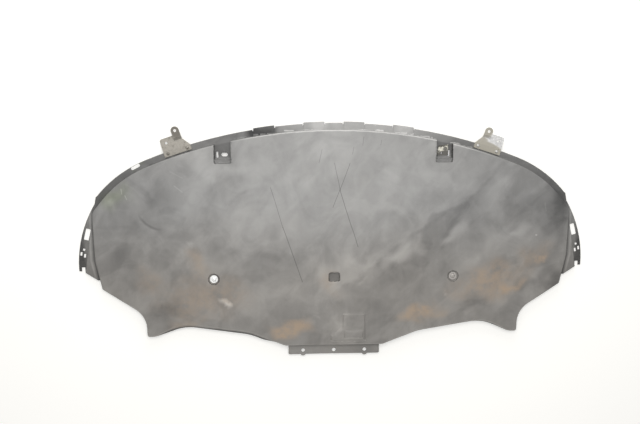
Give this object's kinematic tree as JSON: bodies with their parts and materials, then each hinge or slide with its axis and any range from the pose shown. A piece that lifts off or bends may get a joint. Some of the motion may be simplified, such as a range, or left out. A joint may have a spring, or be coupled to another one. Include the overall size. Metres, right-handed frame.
{
  "type": "underbody cover",
  "caption": "Moulded plastic car underbody cover with tabbed front flange, wheel-arch cut-outs, slotted side flanges and steel front brackets.",
  "frame": {"origin": "bottom centre of the cover as it lies road side up", "axes": "+X across the car, +Y to the car's front, +Z towards the road"},
  "size_m": [1.56, 0.7324, 0.046],
  "materials": {
    "panel_plastic": "dusty scuffed black moulded plastic",
    "bracket_stained": "stained dark stamped steel",
    "bracket_zinc": "bright zinc stamped steel",
    "rivet_steel": "dull steel",
    "clip_steel": "yellow zinc spring steel",
    "fixing_bright": "bright zinc",
    "fixing_dull": "dirty zinc"
  },
  "bodies": {
    "root": {"cover_panel": "panel_plastic", "bracket_left": "bracket_stained", "bracket_right": "bracket_zinc", "bracket_rivets_left": "rivet_steel", "bracket_rivets_right": "rivet_steel", "spring_nut": "clip_steel", "retaining_screw_left": "fixing_bright", "retaining_washer_left": "fixing_bright", "retaining_screw_right": "fixing_dull", "retaining_washer_right": "fixing_dull"}
  },
  "joints": []
}
